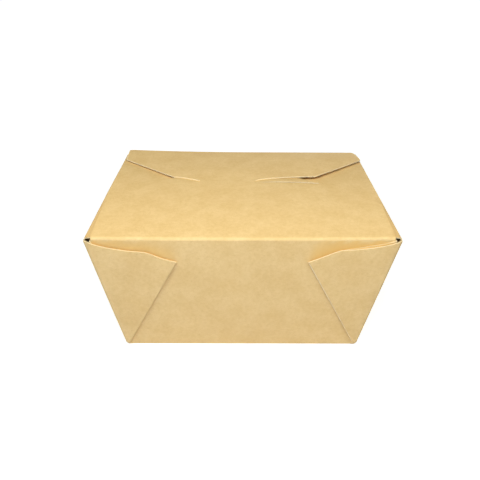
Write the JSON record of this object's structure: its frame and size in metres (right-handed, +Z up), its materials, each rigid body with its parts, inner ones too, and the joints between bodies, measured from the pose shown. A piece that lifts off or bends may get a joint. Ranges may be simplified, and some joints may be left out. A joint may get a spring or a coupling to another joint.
{
  "type": "paper meal box",
  "caption": "Folded kraft board take-away meal box with leaning walls, web corners outside the walls and a tuck-locked lid.",
  "frame": {"origin": "middle of the underside of the box", "axes": "+X along the length of the box, +Y from the front wall, over which the front lid flap folds, to the rear wall, +Z up"},
  "size_m": [0.1328, 0.1026, 0.0655],
  "materials": {
    "kraft_board": "uncoated kraft board, matt",
    "kraft_flap": "uncoated kraft board, matt"
  },
  "bodies": {
    "carton": {"carton": "kraft_board"},
    "rear_lid_flap": {"rear_lid_flap": "kraft_flap"}
  },
  "joints": [
    {"name": "rear_lid_hinge", "type": "hinge", "parent": "carton", "child": "rear_lid_flap", "pos_m": [0, 0.0501, 0.0642], "axis": [-1, 0, 0], "range_deg": [0, 180]}
  ]
}
